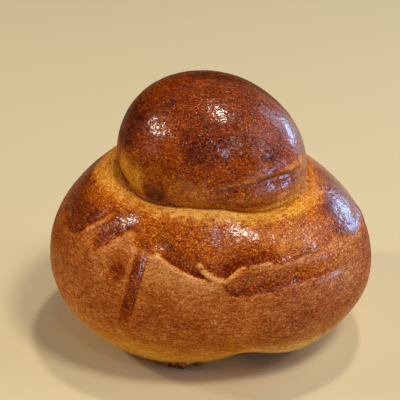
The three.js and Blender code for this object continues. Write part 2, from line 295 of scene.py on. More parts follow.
class Crust:
    """The bun's grid, laid out flat, with what is pressed into it and where a brush reaches on it."""

    # How far past its marks a line is felt, in millimetres and in degrees, and the share of its length over
    # which it fades at an end
    REACH = 9
    REACH_ROUND = 14
    FADE = 0.1

    # Bearings over which the sides turn into the back, where the edges of zones wander round and up: how
    # far, over what size and with which seed
    BACK = (72, 105)
    WANDER_ROUND = (7, 8, 41)
    WANDER_UP = (1.5, 6, 42)

    def __init__(self):
        self.bearings, self.grid = smooth_bun()
        self.normals = grid_normals(self.grid)
        self.rise = np.zeros(self.bearings.shape)
        ring = np.arange(len(self.grid))[:, None] + np.zeros_like(self.bearings)
        self.on_foot = ring <= FOOT_RINGS
        self.on_head = ring > NECK_RING
        self.height = self.grid[..., 2]
        self.above_neck = self.height - neck_seam(self.bearings)
        self.from_seam = np.linalg.norm(self.grid - self.grid[NECK_RING], axis=-1)
        self.back = fade(np.abs(self.bearings), *self.BACK)
        self.zone_bearings = self.bearings + self.wander(*self.WANDER_ROUND)
        self.zone_height = self.height + self.wander(*self.WANDER_UP)

    def wander(self, most, size, seed):
        """An uneven shift of about that much at most, round the back alone."""
        return most * self.back * ripple(self.grid, size, seed)

    def near_line(self, marks, on_head):
        """A mask of the points that a line can reach, and their signed offsets and shares along it."""
        near = (self.on_head == on_head) & ~self.on_foot
        fields = ((self.bearings, self.REACH_ROUND), (self.height, self.REACH))
        for (field, reach), marked in zip(fields, np.array(marks, float).T):
            near &= (field > marked.min() - reach) & (field < marked.max() + reach)
        offset, along = line_offsets(marks, self.grid[near], self.normals[near])
        return near, offset, along

    def away_from(self, bearing, height):
        """Distance of every point from one place on the smooth crust."""
        centre = crust_points(np.array(float(bearing)), np.array(float(height)))
        return np.linalg.norm(self.grid - centre, axis=-1)

    def taper(self, along, ends):
        """1 along a line, and a smooth S to 0 at each end, over so many times the usual share."""
        start, end = (self.FADE * times + TINY for times in ends)
        return fade(along, 0, start) * fade(1 - along, 0, end)

    def fold(self, marks, step=0, edge=0.4, reach=2.6, swells=(), on_head=False, ends=(1, 1)):
        """Press a fold in. Across its line the crust drops by step, as tanh(offset / edge), and evens out
        over the reach. Swells and hollows (middle, half width, rise) lie beside it. Its ends taper."""
        near, offset, along = self.near_line(marks, on_head)
        rise = -step * np.tanh(offset / edge) * np.exp(-((offset / reach) ** 2))
        for middle, half_width, height in swells:
            rise += height * np.exp(-(((offset - middle) / half_width) ** 2))
        self.rise[near] += rise * self.taper(along, ends)

    def dent(self, bearing, height, radius, depth, on_head=False):
        """Press a round dent in: depth x exp(-(distance / radius)^2)."""
        away = self.away_from(bearing, height)
        self.rise -= depth * np.exp(-((away / radius) ** 2)) * (self.on_head == on_head)

    def stroke(self, marks, above, below, ends=(1, 1), on_head=False):
        """Share that a brush stroke covers. Above and below its line it is full out to a width, then soft.
        Each side has a width at the line's start, one at its end, and a softness. Its ends taper."""
        near, offset, along = self.near_line(marks, on_head)
        start, end, soft = np.where(offset > 0, np.array(above)[:, None], np.array(below)[:, None])
        past = np.abs(offset) - (start + (end - start) * along)
        field = np.zeros(self.height.shape)
        field[near] = (1 - fade(past, 0, soft)) * self.taper(along, ends)
        return field

    def spot(self, bearing, height, radius, soft):
        """Share that a round spot on the body covers: full out to its radius, then soft."""
        return (1 - fade(self.away_from(bearing, height), radius, radius + soft)) * ~self.on_head

    def zone(self, bearings, heights, soft_round, soft_up, on_head=False):
        """Share that a zone between two bearings and two heights covers, soft at its sides, top and bottom.
        Round the back its edges wander."""
        sides = ((edge - soft_round, edge + soft_round) for edge in bearings)
        bounds = ((edge - soft_up, edge + soft_up) for edge in heights)
        cover = span(self.zone_bearings, *sides) * span(self.zone_height, *bounds)
        return cover * (self.on_head == on_head)

    def band(self, top, bottom, soft_top, soft_bottom):
        """Share that a band between two edges on the body covers, soft along each, and how far up it a
        point lies."""
        high, low = level(top, self.bearings), level(bottom, self.bearings)
        cover = fade(self.height - low, -soft_bottom, soft_bottom)
        cover *= 1 - fade(self.height - high, -soft_top, soft_top)
        cover *= (self.bearings > bottom[0][0]) & ~self.on_head
        return cover, np.clip((self.height - low) / (high - low), 0, 1)

    def surface(self):
        """The grid's points moved out along their normals by the rise, the foot left flat."""
        points = self.grid + self.normals * np.where(self.on_foot, 0, self.rise)[..., None]
        points[..., 2] = np.maximum(points[..., 2], 0)
        return points


# Lines on the crust, as (bearing, height) marks from left to right
TORN_LIP = ((-24.5, 48.6), (-21.5, 46), (-16.5, 44.1), (-12, 42.7), (-7, 41.3), (-2, 40.1))
LIP_TIP = ((-7, 44.5), (-5, 43.3), (-3.5, 42.2), (-1.5, 41.2), (0, 40.6), (2.5, 39.9), (4.4, 40))
UPPER_RIDGE = (
    (3.8, 39.8), (6, 40.5), (10, 42.8), (15, 44.1), (23, 43.8), (28, 43.3), (33, 43.6), (41, 44), (54, 44.2),
)
GROOVE_TOP = (
    (3.5, 39.2), (6, 39.7), (11.5, 41.2), (19, 41.9), (26.5, 41.9), (35, 41.7), (43.5, 41), (54, 40.4),
)
GROOVE_BOTTOM = (
    (4.2, 39), (5.4, 37.2), (6.5, 35.8), (9.5, 35.2), (14, 35.3), (18.5, 35.5), (23, 35.9), (27.5, 36.8),
    (31.5, 37.3), (37, 37.3), (45, 37.1), (54, 37),
)
RUN_OF_WASH = (
    (-30.2, 50), (-29.6, 44), (-29.5, 40.4), (-30, 36.3), (-30.2, 32), (-31.2, 27.5), (-32.6, 23),
    (-33.2, 17),
)
LEFT_FLAP = ((-84, 43.8), (-76, 43), (-71.5, 41.8), (-66, 41.6), (-62.5, 43.6), (-57.5, 48), (-53.4, 51.6))
SECOND_FLAP = (
    (-53, 46), (-51.6, 43), (-50, 41.9), (-48.4, 42.6), (-46, 45), (-43, 47.6), (-38, 49.7), (-33, 46.4),
)
RIGHT_FLAP = ((58, 44), (65, 43), (72, 41.8), (84, 41.6), (98, 43))
PALE_STREAK = ((-61, 44.6), (-58, 46.6), (-55, 49.4), (-52, 52.4))
HEAD_FOLD = ((0, 63.2), (4, 64), (10, 64.7), (20, 65.5), (30, 65.8), (42, 65.6), (55, 64.6), (68, 63))
HEAD_CREASE = ((-16, 64.6), (-10, 63.4), (-4, 62.4))
COLLAR = ((26, 56.4), (44, 56.4), (58, 56), (76, 55.4))
BACK_FOLD = ((112, 45), (130, 42.6), (150, 41.8), (172, 43.6))
BACK_LEFT_FOLD = ((-156, 38.8), (-138, 40.2), (-122, 43), (-112, 44.4))

# Where a blob of wash lies beside its run
BLOB = (-37, 38.9)

# Dents, each a bearing, a height, a radius and a depth, which is below zero where the crust swells
BODY_DENTS = ((*BLOB, 2.5, 0.6), (-21.8, 48.4, 1.8, 1.1), (-38, 53.6, 4.5, -0.5), (4, 56.6, 5, -1.1))
HEAD_DENTS = ((35.5, 71, 1.3, 0.5), (41, 63.6, 4, 0.9), (-5, 73, 5, 0.35), (-41, 83, 1, 0.4))

# Swells and hollows of the foot, each a rise, a bearing, a spread round, a height and a reach up
FOOT_SWELLS = ((0.8, 40, 11, 9, 6), (-1.5, 16, 11, 6, 5.5), (-1.3, 29, 13, 2.5, 4))

# Crumbs burnt on at the front of the foot, and its frayed edge
CRUMBS_BEARING = -18
CRUMBS_SPREAD = 13
CRUMBS_REACH = 2.4
CRUMBS_RISE = 1.9
FRAYED_REACH = 4.5
FRAYED_BEARINGS = ((-110, -80), (60, 90))

# Ripples, each a rise, a size across and a seed
CRUMB_RIPPLES = ((1, 2.2, 31), (0.8, 0.9, 32))
FRAYED_RIPPLES = ((0.4, 1.6, 33), (0.35, 0.9, 34))
CRUST_RIPPLES = ((0.18, 17, 1), (0.07, 7, 2), (0.035, 2.6, 3), (0.02, 1.3, 4))


def shape_foot(crust):
    """The foot's swells and hollows, the crumbs burnt on at its front and its frayed edge."""
    b, z = crust.bearings, crust.height
    for rise, bearing, spread, height, reach in FOOT_SWELLS:
        crust.rise += rise * hill(b - bearing, spread, z - height, reach)
    crumbs = hill(b - CRUMBS_BEARING, CRUMBS_SPREAD, z, CRUMBS_REACH)
    crust.rise += crumbs * (CRUMBS_RISE + ripples(crust.grid, CRUMB_RIPPLES))
    frayed = np.exp(-((z / FRAYED_REACH) ** 2)) * span(b, *FRAYED_BEARINGS)
    crust.rise += frayed * ripples(crust.grid, FRAYED_RIPPLES)


def shape_crust():
    """The crust with its folds, dents, uneven foot and the fine unevenness of baked dough."""
    crust = Crust()
    crust.fold(TORN_LIP, step=0.4, edge=0.7, swells=((1.8, 1.8, -0.5), (-1.8, 2, 0.5)), ends=(2, 1))
    crust.fold(LIP_TIP, swells=((0.2, 0.9, 0.5),))
    crust.fold(UPPER_RIDGE, step=0.15, edge=0.8, swells=((2.6, 2.6, -0.35), (-1.6, 1.7, 0.5)), ends=(0.5, 3))
    hollow, rim = (2.5, 2.2, -0.7), (-2.4, 2.6, 0.5)
    crust.fold(GROOVE_BOTTOM[2:], step=0.3, edge=0.8, swells=(hollow, rim), ends=(1.5, 4))
    crust.fold(RUN_OF_WASH, swells=((-0.3, 1.9, -0.65), (3.4, 2, 0.35), (-3, 1.3, 0.15)), ends=(1, 3))
    crust.fold(HEAD_FOLD, step=-0.55, edge=0.35, swells=((-0.2, 3.2, -0.55),), ends=(3, 1), on_head=True)
    crust.fold(HEAD_CREASE, step=-0.15, edge=0.4, swells=((-0.5, 0.8, -0.2),), on_head=True)
    crust.fold(COLLAR, step=0.25, edge=0.4, swells=((0, 0.6, -0.4), (1.8, 0.9, 0.4)), on_head=True)
    crust.fold(LEFT_FLAP, step=0.15, edge=0.6, swells=((1.6, 1.6, -0.12),))
    crust.fold(SECOND_FLAP, swells=((1.4, 1.6, -0.15), (-2, 2.2, 0.4)))
    crust.fold(RIGHT_FLAP, step=0.15, edge=0.6, swells=((-2, 2.6, 0.5),), ends=(2, 2))
    crust.fold(PALE_STREAK, swells=((0, 1, 0.15),))
    for marks in (BACK_FOLD, BACK_LEFT_FOLD):
        crust.fold(marks, step=0.5, swells=((2, 2, -0.5), (-1.8, 2, 0.4)), ends=(3, 3))
    for dents, on_head in ((BODY_DENTS, False), (HEAD_DENTS, True)):
        for dent in dents:
            crust.dent(*dent, on_head=on_head)
    shape_foot(crust)
    crust.rise += ripples(crust.grid, CRUST_RIPPLES)
    return crust


# What was brushed on the crust and how it browned

# Edges that run right round the bun, as (bearing, height) marks
WASH_EDGE = (
    (-180, 43), (-150, 39.5), (-130, 41), (-115, 44), (-100, 45), (-88, 44), *LEFT_FLAP[1:5], (-60, 45.4),
    (-57.5, 48), (-55, 50.6), (-53.6, 51.6), *SECOND_FLAP[:6], (-40, 49.4), (-38, 49.7), (-35.6, 48.4),
    (-33, 46.2), (-30, 46), (-25, 45.6), (-22, 46.3), (-20, 45.7), (-15, 44.1), (-10, 42.3), (-5, 40.9),
    (-1, 40), *UPPER_RIDGE, *RIGHT_FLAP, *BACK_FOLD[:3], (180, 43),
)
HEAD_WASH_EDGE = (
    (-180, 66), (-95, 69.5), (-60, 69), (-30, 66.5), (-15, 63.5), (0, 61.5), (20, 60), (40, 58.5),
    (70, 58.5), (110, 62), (150, 65), (180, 66),
)
PALE_RING_EDGE = (
    (-180, 54.6), (-95, 54), (-60, 54.1), (-30, 54.4), (-10, 54.7), (0, 54.4), (10, 53.8), (20, 53),
    (40, 52.4), (55, 52.2), (75, 52.4), (95, 53.2), (120, 53.6), (180, 54.6),
)

# How far the edge of the pale ring is soft, to each side
PALE_RING_SOFT = 1.4

# How ragged the edges are, and how the wash's edge wanders round the back: how far, over what size and with
# which seed
RAGGED = ((0.5, 1.7, 21), (0.4, 0.9, 22))
WASH_WANDER = (1.2, 5, 43)

# Browning of bare dough and of the head, by height
BODY_BROWNING = ((0, 0.05), (8, 0.16), (16, 0.34), (26, 0.455), (36, 0.455), (60, 0.46))
HEAD_BROWNING = ((52, 0.32), (57, 0.4), (62, 0.52), (68, 0.58), (90, 0.58))

# Browning of the pale ring, and how far the dough below the wash stretched, by bearing
RING_BROWNING = (
    (-180, 0.34), (-95, 0.32), (-60, 0.21), (-30, 0.1), (-12, 0.06), (12, 0.08), (35, 0.14), (60, 0.2),
    (76, 0.28), (92, 0.44), (180, 0.44),
)
STRETCHED = (
    (-180, 0), (-155, 0.5), (-120, 0.5), (-90, 0), (-52, 0.2), (-44, 0.9), (-5, 0.85), (12, 1), (50, 0.9),
    (70, 0.3), (100, 0), (125, 0.5), (160, 0.5), (180, 0),
)

# Patches, each two bearings, two heights, softness round and up, a value to go to and the share of the way
DOUGH_PATCHES = (
    # Paler at the foot's left: painted warm bounce light from below
    ((-95, -32), (-5, 15), 8, 9, 0.1, 0.8),
    ((16, 34), (17, 28), 5, 3, 0.64, 0.6),
    ((-12, 0), (20, 31), 5, 3, 0.6, 0.5),
    ((-16, 30), (12, 23), 8, 4, 0.47, 0.5),
    # Darker at the foot's lower right: painted shade
    ((20, 52), (-5, 4.5), 6, 1.5, 0.56, 0.8),
    ((14, 50), (8, 15), 6, 2, 0.14, 0.8),
    # Darker along the foot's lower edge at the left: painted shade
    ((-75, -36), (-5, 2.5), 6, 1, 0.42, 0.7),
    ((-104, -60), (34, 46), 6, 3, 0.66, 0.7),
    ((64, 110), (28, 42), 6, 4, 0.68, 0.6),
    ((52, 84), (8, 22), 6, 4, 0.24, 0.6),
    ((-3, 13), (28, 36), 4, 3, 0.38, 0.7),
    ((20, 66), (14, 34), 8, 5, 0.6, 0.5),
)
FRONT_WASH_PATCHES = (
    ((-24, -2), (46, 53), 5, 2, 0.54, 1),
    # Paler wash at the upper right of the shoulder, with a painted sheen on it
    ((16, 56), (46.4, 56), 6, 2, 0.49, 1),
)
BACK_WASH_PATCHES = (
    ((-155, -80), (44, 55), 10, 2, 0.86, 1),
    ((61, 160), (40, 51.5), 4, 1.5, 0.78, 1),
)
FLAP_PATCHES = (
    ((-86, -57), (40, 50.5), 6, 1.5, 0.81, 1),
    ((-54, -38), (41, 52), 2, 2, 0.7, 1),
)
HEAD_PATCHES = (
    ((-200, -80), (77, 95), 20, 3, 0.9, 1),
    ((98, 200), (77, 95), 10, 3, 0.9, 1),
    ((-120, -20), (77, 90), 14, 3, 0.79, 1),
    ((-26, 30), (72.5, 80), 12, 3, 0.83, 1),
    ((-112, -58), (68, 79.5), 8, 2.4, 0.95, 1),
    # Lighter right of the left highlight: lighter brown crust with a painted halo of that highlight
    ((-46, -24), (70, 80), 6, 3, 0.64, 1),
    ((-62, -16), (63, 74), 8, 3, 0.65, 1),
    # Lighter low at the head's right: paler crust with a painted bluish haze
    ((10, 70), (58, 72), 10, 3, 0.66, 1),
    ((-12, 1), (71, 77), 5, 2.5, 0.89, 1),
    ((30, 46), (70, 74), 5, 1.5, 0.84, 1),
    ((-30, 34), (55, 69), 10, 3, 0.64, 1),
    ((-30, -2), (55, 65), 5, 1.5, 0.42, 1),
    ((0, 70), (52, 60), 8, 1.5, 0.52, 1),
    ((-34, 20), (53, 56.5), 8, 1, 0.38, 1),
    ((20, 66), (53, 58), 6, 1, 0.32, 1),
    # Lighter above the fold's right part: paler crust with a painted sheen
    ((40, 60), (64, 66.8), 4, 0.8, 0.26, 1),
    ((8, 34), (57, 62), 6, 1.5, 0.62, 1),
    ((-47, -28), (55, 62), 4, 2, 0.78, 1),
    # Pale patch low at the head's left: pale dough, lightened further as painted light
    ((-76, -48), (55, 65), 4, 2, 0.32, 1),
    # Lighter at the fold's right end: a painted reflection of window light
    ((52, 66), (62, 66.5), 4, 1, 0.4, 1),
    ((-46.5, -36.5), (82.4, 83.4), 1.5, 0.5, 1, 1),
)

# Patches of dull wash, laid out in the same way
DULL_SHOULDER = (
    ((-24, -2), (46, 53), 5, 2, 0.5, 1),
    ((-80, -50), (41, 57), 3, 1.2, 0.92, 1),
)
DULL_SIDES = (
    ((-170, -75), (35, 60), 9, 3, 0.95, 1),
    ((50, 74), (49.5, 60), 6, 1.5, 0.95, 1),
)
DULL_FLAPS = (
    ((-57, -38), (40, 50.3), 3, 1, 0.92, 1),
    ((-38, -24.5), (43, 54), 1.5, 1.5, 0.95, 1),
)
DULL_HEAD = (
    ((13, 26), (68, 79), 2.5, 1.5, 0.92, 1),
    ((-180, -60), (50, 95), 6, 2, 0.95, 1),
    ((94, 180), (66, 95), 6, 2, 0.95, 1),
    ((-64, -24), (62, 75.4), 6, 1, 0.9, 1),
    ((6, 26), (75, 80.5), 2.5, 0.8, 0.9, 1),
    ((-58, -36), (75.6, 80), 4, 1, 0.25, 1),
    ((34, 44), (66.5, 70), 2, 0.8, 0.7, 1),
)

# Gloss of bare or torn dough, and of the head where it wasn't washed
BARE_GLOSS = 0.1
HEAD_GLOSS = 0.25


class Paint:
    """Browning of the crust, from 0, palest, to 1, nearly burnt, its gloss of egg wash, and how dull that
    wash has dried."""

    def __init__(self, shape):
        self.brown, self.gloss, self.dull = np.zeros((3, *shape))

    def brush(self, cover, brown=None, gloss=None, dull=None):
        """Take browning, gloss and dullness towards new values by the share that the stroke covers."""
        for field, value in ((self.brown, brown), (self.gloss, gloss), (self.dull, dull)):
            if value is not None:
                field += (value - field) * cover


def brush_patches(crust, paint, patches, cover=1, quality="brown", on_head=False):
    """Take one quality towards the value of each patch in turn, where the cover lies."""
    for *zone, value, share in patches:
        paint.brush(share * cover * crust.zone(*zone, on_head), **{quality: value})


def brush_dough(crust, paint, above):
    """Bare dough: golden low down and brown above, palest where it stretched just below the wash's edge;
    painted light and shade at the foot.
    """
    b, z = crust.bearings, crust.height
    body = ~crust.on_head
    turned = 0.06 * fade(-b, 40, 70) * fade(z, 26, 36) + 0.05 * fade(b, 15, 45) * fade(z, 12, 22)
    paint.brush(body, level(BODY_BROWNING, z) + turned, BARE_GLOSS)
    brush_patches(crust, paint, DOUGH_PATCHES)
    drawn_out = 14 - 9 * fade(b, -10, 2)
    pale = 0.14 + 0.22 * fade(b, -1, 6) + 0.16 * fade(-b, 28, 40)
    paint.brush(body * level(STRETCHED, b) * (1 - fade(-above / drawn_out, 0.1, 1)), pale)
    paint.brush(crust.zone((-41.5, -33), (39, 44.5), 1.6, 1.5), 0.5, 0.3)


def brush_wash(crust, paint, wash, above):
    """Egg wash over the shoulder: dark where it lies thick along its edge, patchy round the back, broken on
    the flaps at the left, and dull in places."""
    b = crust.bearings
    broken = fade(ripple(crust.grid, 2, 23), -1.5, -0.3)
    patchy = 1 - 0.6 * crust.back * fade(ripple(crust.grid, 7, 44), -0.2, 0.5)
    paint.brush(wash, 0.52, 1)
    brush_patches(crust, paint, FRONT_WASH_PATCHES, wash)
    paint.brush(wash * span(b, (-26, -18), (40, 60)) * (1 - fade(above, 1.5, 6.5)), 0.65)
    paint.brush(wash * span(b, (2, 8), (12, 36)) * (1 - fade(above, 1, 3)), 0.78)
    brush_patches(crust, paint, BACK_WASH_PATCHES, wash * patchy)
    brush_patches(crust, paint, FLAP_PATCHES, wash * broken)
    paint.brush(wash * crust.zone((57, 74), (40, 47.5), 3, 1), 0.76)
    # Paler, glossier wash at the right of the shoulder: a painted sheen of window light
    paint.brush(wash * crust.zone((27, 50), (45.4, 49.4), 5, 1.4), 0.4, 0.6)
    paint.brush(wash * crust.spot(4.6, 41.6, 1, 3.6), 0.76, 0.5)
    paint.brush(0.8 * (1 - wash) * crust.zone((40, 60), (32, 42), 6, 3), gloss=0.6)
    brush_patches(crust, paint, DULL_SHOULDER, wash, "dull")
    brush_patches(crust, paint, DULL_SIDES, quality="dull")
    brush_patches(crust, paint, DULL_FLAPS, wash, "dull")
    paint.brush(wash * (1 - fade(above, 2.5, 4.5)) * crust.zone((4, 29), (40, 50), 3, 2), dull=1)


def brush_marks(crust, paint, wash):
    """The groove, the run of wash with a blob beside it, the torn lip, its tip, the ridge and the streak."""
    b = crust.bearings
    groove, climb = crust.band(GROOVE_TOP, GROOVE_BOTTOM, 1.2, 0.35)
    paint.brush(groove * np.maximum(fade(b, 20, 40), 1 - climb), dull=0.85)
    paint.brush(groove * (1 - fade(b, 30, 56)), 0.76 - 0.2 * fade(climb, 0, 0.6), 0.9)
    run = crust.stroke(RUN_OF_WASH, above=(2.3, 1.4, 0.9), below=(1.4, 1.4, 0.9), ends=(2.2, 4.5))
    paint.brush(run, 0.74, 0.9)
    paint.brush(crust.stroke(RUN_OF_WASH[3:], above=(3, 3, 1), below=(3, 3, 1), ends=(2, 0)), dull=0.7)
    paint.brush(crust.spot(*BLOB, 1.8, 1.6), 0.67, 0.5)
    paint.brush(crust.spot(*BLOB, 3.5, 1), dull=0.85)
    paint.brush(crust.stroke(TORN_LIP, above=(1, 1, 0.8), below=(0, 0, 0.4), ends=(1, 0)), dull=1)
    paint.brush(crust.stroke(SECOND_FLAP, above=(2, 1.6, 1.2), below=(1, 1, 0.5), ends=(0, 1)), dull=0.9)
    paint.brush(wash * crust.spot(-21.2, 48.7, 1.6, 1.2), dull=0)
    # Dark band just above the torn lip: wash pooled in its recess, with painted shade there
    paint.brush(crust.stroke(TORN_LIP[1:], above=(0.4, 0.6, 1.3), below=(0, 0, 0.4)), 0.84, BARE_GLOSS)
    tip = crust.stroke(LIP_TIP, above=(1, 0.4, 0.7), below=(0.3, 0.3, 0.4), ends=(1.2, 0))
    paint.brush(tip * fade(ripple(crust.grid, 0.9, 25), -1.6, -0.2), 0.06, 0.3, 0.5)
    ridge = crust.stroke(UPPER_RIDGE[:4], above=(0.1, 0, 0.3), below=(0.6, 0.3, 0.5), ends=(0, 2))
    paint.brush(ridge, 0.18, BARE_GLOSS)
    paint.brush(crust.stroke(PALE_STREAK, above=(0.9, 1.2, 1), below=(0.9, 1.2, 1), ends=(1, 2)), 0.62, 0.4)
    streak = crust.stroke(PALE_STREAK, above=(0.3, 0.5, 0.9), below=(0.3, 0.5, 0.9), ends=(2, 3))
    paint.brush(streak * fade(ripple(crust.grid, 1.1, 24), -0.9, 0.3), 0.2, BARE_GLOSS)


def brush_body(crust, paint, ragged):
    """The body: bare dough, egg wash over its shoulder, the marks in both, a pale ring round the neck."""
    b, z = crust.bearings, crust.height
    body = ~crust.on_head
    above = z + ragged + crust.wander(*WASH_WANDER) - level(WASH_EDGE, b)
    soft = 0.5 + fade(b, 28, 55) + fade(-b, 74, 90)
    wash = body * fade(above, -soft, soft)
    brush_dough(crust, paint, above)
    brush_wash(crust, paint, wash, above)
    brush_marks(crust, paint, wash)
    above_ring_edge = z + 1.2 * ragged - level(PALE_RING_EDGE, b)
    ring = body * fade(above_ring_edge, -PALE_RING_SOFT, PALE_RING_SOFT)
    paint.brush(ring, level(RING_BROWNING, b), 0.5, 0.6)


def brush_head(crust, paint, ragged):
    """The head: red-brown where it was washed, darkest at its left and in its middle, tan low down, with
    painted light and shade in places.
    """
    b, z = crust.bearings, crust.height
    paint.brush(crust.on_head, level(HEAD_BROWNING, z), HEAD_GLOSS)
    washed = crust.on_head * fade(z + 2.5 * ragged - level(HEAD_WASH_EDGE, b), -3, 4)
    paint.brush(washed, 0.76, 1)
    brush_patches(crust, paint, HEAD_PATCHES, on_head=True)
    below = crust.stroke(HEAD_FOLD, above=(0, 0, 0.3), below=(1.4, 3.6, 1.4), ends=(1.5, 2), on_head=True)
    paint.brush(below, 0.7, 1)
    # Painted shade: a dark line in the crease where the fold's upper skin overlaps
    crease = crust.stroke(HEAD_FOLD[:6], above=(0, 0, 0.3), below=(0.5, 0.5, 0.5), ends=(2, 3), on_head=True)
    paint.brush(crease, 0.88)
    # Painted highlight: a pale line along the lip of the fold
    lip = crust.stroke(HEAD_FOLD[1:5], above=(0.4, 0.4, 0.3), below=(0, 0, 0.2), ends=(2, 3), on_head=True)
    paint.brush(0.8 * lip, 0.3)
    brush_patches(crust, paint, DULL_HEAD, quality="dull", on_head=True)
    collar = crust.stroke(COLLAR, above=(0.4, 0.4, 0.5), below=(0.6, 0.6, 0.6), on_head=True)
    paint.brush(collar, dull=0.95)


# Burnt spots in the seam of the neck, each a bearing and a half width
BURNT_NECK = ((-37, 1.5), (-29.5, 1.6), (-26, 1.2))

# Burnt pricks along the collar: how many
COLLAR_PRICKS = 15


def brush_seam(crust, paint):
    """Brown the seam of the neck, with painted shade in its crevice in two stretches at its left. Gives the
    share of those.
    """
    b = crust.bearings
    paint.brush(0.5 * (1 - fade(np.abs(crust.above_neck), 0.2, 0.8)), 0.5)
    left_seam_shade = span(b, (-125, -95), (-30, -8)) * (1 - 0.7 * np.exp(-(((b + 56) / 11) ** 2)))
    # A dark line of painted shade in the crevice of the seam
    paint.brush(0.9 * left_seam_shade * (1 - fade(crust.from_seam, 0.2, 0.7)), 0.92)
    return left_seam_shade


def burnt_share(crust, left_seam_shade, ragged):
    """Burnt: specks in the left of the seam, egg at the front of the foot, spots in the neck, and pricks
    along the collar, which follow cos(2 pi x pricks x share along it)."""
    b, z = crust.bearings, crust.height
    speck = fade(ripple(crust.grid, 1.4, 11), -0.3, 0.5)
    egg = np.exp(-(((b - CRUMBS_BEARING) / 15) ** 4)) * (1 - fade(z + 1.2 * ragged, 2.8, 4.2))
    burnt = np.maximum.reduce((
        0.9 * (1 - fade(crust.from_seam, 0.4, 1.3)) * span(b, (-110, -90), (-66, -50)) * speck,
        0.7 * (1 - fade(crust.from_seam, 0.3, 1.1)) * left_seam_shade * speck,
        egg,
    ))
    near, offset, along = crust.near_line(COLLAR, on_head=True)
    pricks = fade(np.cos(2 * np.pi * COLLAR_PRICKS * along), 0.1, 0.8) * np.exp(-((offset / 0.5) ** 2))
    burnt[near] = np.maximum(burnt[near], 0.8 * pricks * span(along, (0, 0.15), (0.85, 1)))
    for bearing, half_width in BURNT_NECK:
        burnt = np.maximum(burnt, hill(b - bearing, half_width, crust.above_neck - 0.6, 1.1))
    return burnt


def golden_and_bounce_share(crust):
    """Golden: own tan low on the head and in the ring, the seam of the neck, and painted warm bounce light
    low on the body and at its left.
    """
    b, z = crust.bearings, crust.height
    body = ~crust.on_head
    ring = body * fade(z - level(PALE_RING_EDGE, b), -PALE_RING_SOFT, PALE_RING_SOFT)
    return np.maximum.reduce((
        crust.zone((-110, -25), (50, 69), 10, 3, on_head=True),
        0.7 * crust.zone((-30, 80), (50, 60), 8, 2, on_head=True),
        ring * (0.3 + 0.6 * span(b, (0, 20), (50, 66))),
        # Golden in the seam of the neck, which takes the blue out of the light that falls there
        0.5 * (1 - fade(np.abs(crust.above_neck), 0.8, 2.2)),
        # Painted warm bounce light from below, low on the body and at its left
        body * (1 - fade(z, 10, 27)),
        body * 0.7 * fade(-b, 45, 80),
    ))


def rosy_sheen_share(crust, paint):
    """Painted reflection of bluish window light: bare dough at the right and far round the left, most at the
    groove's end.
    """
    bare = 1 - paint.gloss
    return np.maximum.reduce((
        0.48 * bare * crust.zone((22, 85), (4, 45), 10, 5),
        0.42 * bare * crust.zone((-140, -84), (10, 45), 8, 5),
        0.8 * crust.zone((42, 60), (29, 41), 6, 3),
    ))


def brush_crust(crust):
    """All that the crust's material reads: browning, gloss, dullness, golden and burnt shares, painted
    sheen, and stippling."""
    ragged = ripples(crust.grid, RAGGED)
    paint = Paint(crust.height.shape)
    brush_body(crust, paint, ragged)
    brush_head(crust, paint, ragged)
    left_seam_shade = brush_seam(crust, paint)
    stipple = np.where(crust.on_head, 0.95, 0.9 + 0.2 * paint.gloss)
    stipple *= 1 - 0.3 * fade(-crust.height, -24, -8)
    return {
        "brown": paint.brown, "gloss": paint.gloss, "dull": paint.dull, "gold": golden_and_bounce_share(crust),
        "burnt": burnt_share(crust, left_seam_shade, ragged), "stipple": stipple, "rosy_sheen": rosy_sheen_share(crust, paint),
    }


# The mesh

def closed_mesh(name, points, fields):
    """A mesh of the grid: its first and last rings become single points, so that the surface is closed."""
    rings, columns = points.shape[:2]
    ring_points = points[1:-1].reshape(-1, 3)
    corners = np.concatenate((points[:1, 0], ring_points, points[-1:, 0])) * MM
    index = 1 + np.arange((rings - 2) * columns).reshape(rings - 2, columns)
    here, following = index, np.roll(index, -1, axis=1)
    quads = np.stack((here[:-1], following[:-1], following[1:], here[1:]), axis=-1).reshape(-1, 4)
    last = len(corners) - 1
    foot = np.stack((np.zeros(columns, int), following[0], here[0]), axis=-1)
    crown = np.stack((here[-1], following[-1], np.full(columns, last)), axis=-1)
    mesh = bpy.data.meshes.new(name)
    mesh.from_pydata(corners, [], [*foot.tolist(), *quads.tolist(), *crown.tolist()], shade_flat=False)
    mesh.validate()
    for label, field in fields.items():
        values = np.concatenate((field[:1, 0], field[1:-1].ravel(), field[-1:, 0]))
        mesh.attributes.new(label, "FLOAT", "POINT").data.foreach_set("value", values.astype(np.float32))
    piece = bpy.data.objects.new(name, mesh)
    bpy.context.collection.objects.link(piece)
    return piece


# The crust's material

